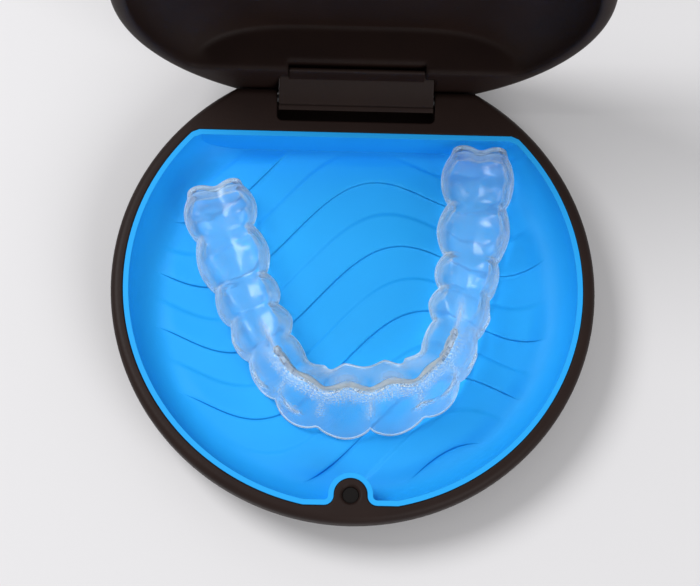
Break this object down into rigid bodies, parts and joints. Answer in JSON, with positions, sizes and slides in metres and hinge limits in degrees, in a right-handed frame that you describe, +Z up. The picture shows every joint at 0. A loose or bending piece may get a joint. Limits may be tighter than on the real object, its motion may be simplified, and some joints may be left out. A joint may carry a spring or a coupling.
{
  "type": "mouthguard with case",
  "caption": "Clear dental aligner tray in a round pocket case: a lid hinged on a pin at the flat back, a soft rippled liner in the base, and magnets that hold it shut.",
  "frame": {"origin": "centre of the base's flat underside, on the axis of the round case", "axes": "+Z up out of the base, +Y towards the hinge at the flat back, +X to the right seen from the front; drawn with the lid standing open"},
  "size_m": [0.086, 0.0949, 0.0874],
  "materials": {
    "case_plastic": "fine matte texture",
    "liner_silicone": "matte silicone with raised ripples",
    "magnet": "dark coated",
    "pin_steel": "drawn",
    "tray_sheet": "clear, slightly worn"
  },
  "bodies": {
    "base": {"base_shell": "case_plastic", "base_liner": "liner_silicone", "base_magnet": "magnet", "hinge_pin": "pin_steel"},
    "lid": {"lid_shell": "case_plastic", "lid_magnet": "magnet", "hinge_knuckle": "case_plastic"},
    "tray": {"aligner_tray": "tray_sheet"}
  },
  "joints": [
    {"name": "lid_hinge", "type": "hinge", "parent": "base", "child": "lid", "pos_m": [0, 0.0355, 0.0092], "axis": [-1, 0, 0], "range_deg": [-92.7, 0]},
    {"name": "tray_lift", "type": "slide", "parent": "base", "child": "tray", "axis": [0, 0, 1], "range_m": [0, 0.04]}
  ]
}
